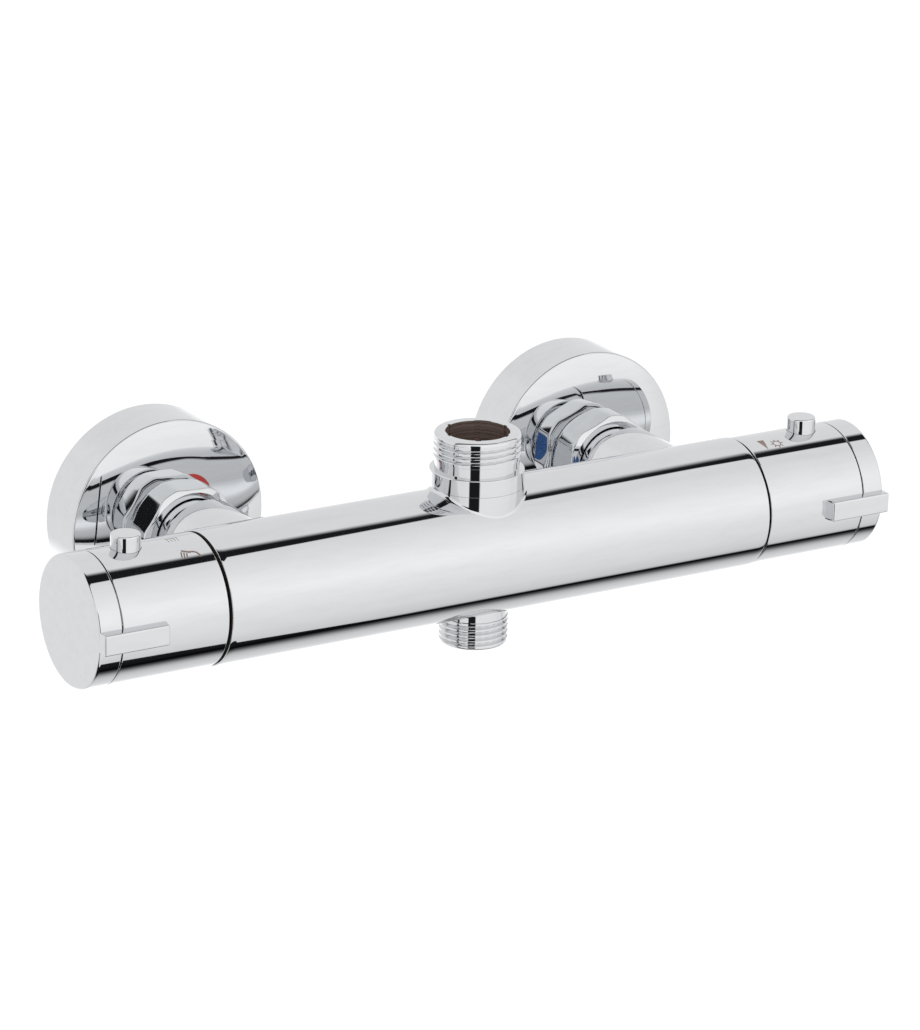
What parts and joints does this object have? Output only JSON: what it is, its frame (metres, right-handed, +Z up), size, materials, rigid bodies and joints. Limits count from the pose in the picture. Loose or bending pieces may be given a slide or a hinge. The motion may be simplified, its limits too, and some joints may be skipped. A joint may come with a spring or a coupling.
{
  "type": "thermostatic shower valve",
  "caption": "Wall-mounted thermostatic bar shower valve with two levered end handles, stop buttons, top and bottom outlets and round wall plates.",
  "frame": {"origin": "on the wall plane, midway between the middles of the two inlets", "axes": "+X along the bar from the hot inlet to the cold inlet, +Y into the wall, +Z up"},
  "size_m": [0.274, 0.1103, 0.0671],
  "materials": {
    "chrome": "polished chrome plate on brass",
    "machined_brass": "turned brass, unplated",
    "rubber_black": "matt black rubber",
    "spring_steel": "drawn spring steel",
    "ivory_plastic": "matt moulded plastic",
    "white_plastic": "matt moulded plastic",
    "orange_plastic": "matt moulded plastic",
    "grey_plastic": "matt moulded plastic",
    "ceramic_white": "lapped ceramic",
    "copper_alloy": "drawn copper alloy",
    "red_mark": "gloss printed film",
    "blue_mark": "gloss printed film"
  },
  "bodies": {
    "valve": {"valve_body": "chrome", "top_outlet": "chrome", "top_outlet_seal": "rubber_black", "bottom_outlet": "chrome", "hot_wall_union": "machined_brass", "cold_wall_union": "machined_brass", "hot_wall_plate": "chrome", "cold_wall_plate": "chrome", "wall_plate_seals": "rubber_black", "nut_retaining_rings": "spring_steel", "inlet_strainers": "rubber_black", "check_valve_cages": "ivory_plastic", "hot_check_spring": "spring_steel", "cold_check_spring": "spring_steel", "thermo_cartridge_nose": "ivory_plastic", "thermo_cartridge_housing": "ivory_plastic", "thermo_cartridge_nut": "machined_brass", "thermo_seals": "rubber_black", "thermo_return_spring": "spring_steel", "temperature_stop_ring": "white_plastic", "flow_cartridge_nose": "ivory_plastic", "flow_cartridge_housing": "ivory_plastic", "flow_cartridge_nut": "machined_brass", "flow_seals": "rubber_black", "flow_fixed_disc": "ceramic_white", "flow_stop_ring": "white_plastic", "hot_mark": "red_mark", "cold_mark": "blue_mark"},
    "hot_nut": {"hot_union_nut": "chrome"},
    "cold_nut": {"cold_union_nut": "chrome"},
    "hot_check": {"hot_check_poppet": "orange_plastic"},
    "cold_check": {"cold_check_poppet": "orange_plastic"},
    "thermo_slider": {"thermo_piston": "grey_plastic", "wax_element": "copper_alloy", "thermo_pusher": "ivory_plastic"},
    "temperature_handle": {"temperature_sleeve": "chrome", "temperature_cap": "chrome", "temperature_lever": "chrome", "temperature_hub": "white_plastic", "temperature_hub_screw": "spring_steel", "thermo_spindle": "machined_brass", "temperature_button_spring": "spring_steel"},
    "temperature_stop_button": {"temperature_button": "chrome"},
    "flow_handle": {"flow_sleeve": "chrome", "flow_cap": "chrome", "flow_lever": "chrome", "flow_hub": "white_plastic", "flow_hub_screw": "spring_steel", "flow_spindle": "machined_brass", "flow_turning_disc": "ceramic_white", "flow_button_spring": "spring_steel"},
    "flow_stop_button": {"flow_button": "chrome"}
  },
  "joints": [
    {"name": "temperature_turn", "type": "hinge", "parent": "valve", "child": "temperature_handle", "pos_m": [0.115, -0.074, -0.003], "axis": [1, 0, 0], "range_deg": [-150, 60]},
    {"name": "thermo_slide", "type": "slide", "parent": "valve", "child": "thermo_slider", "axis": [1, 0, 0], "range_m": [-0.0016, 0.0007], "deforming": ["thermo_return_spring"]},
    {"name": "temperature_button_press", "type": "slide", "parent": "temperature_handle", "child": "temperature_stop_button", "axis": [0, 0, -1], "range_m": [0, 0.002], "stiffness_N_per_m": 900, "springref_m": -0.001, "deforming": ["temperature_button_spring"]},
    {"name": "flow_turn", "type": "hinge", "parent": "valve", "child": "flow_handle", "pos_m": [-0.115, -0.074, -0.003], "axis": [1, 0, 0], "range_deg": [-90, 90]},
    {"name": "flow_button_press", "type": "slide", "parent": "flow_handle", "child": "flow_stop_button", "axis": [0, 0, -1], "range_m": [0, 0.002], "stiffness_N_per_m": 900, "springref_m": -0.001, "deforming": ["flow_button_spring"]},
    {"name": "hot_nut_turn", "type": "hinge", "parent": "valve", "child": "hot_nut", "pos_m": [-0.075, -0.0258, 0], "axis": [0, 1, 0], "continuous": true},
    {"name": "cold_nut_turn", "type": "hinge", "parent": "valve", "child": "cold_nut", "pos_m": [0.075, -0.0258, 0], "axis": [0, 1, 0], "continuous": true},
    {"name": "hot_check_open", "type": "slide", "parent": "valve", "child": "hot_check", "axis": [0, -1, 0], "range_m": [0, 0.0025], "stiffness_N_per_m": 200, "springref_m": -0.001, "deforming": ["hot_check_spring"]},
    {"name": "cold_check_open", "type": "slide", "parent": "valve", "child": "cold_check", "axis": [0, -1, 0], "range_m": [0, 0.0025], "stiffness_N_per_m": 200, "springref_m": -0.001, "deforming": ["cold_check_spring"]}
  ],
  "couplings": [
    {"joint": "thermo_slide", "follows": "temperature_turn", "m_per_rad": 0.0006}
  ]
}
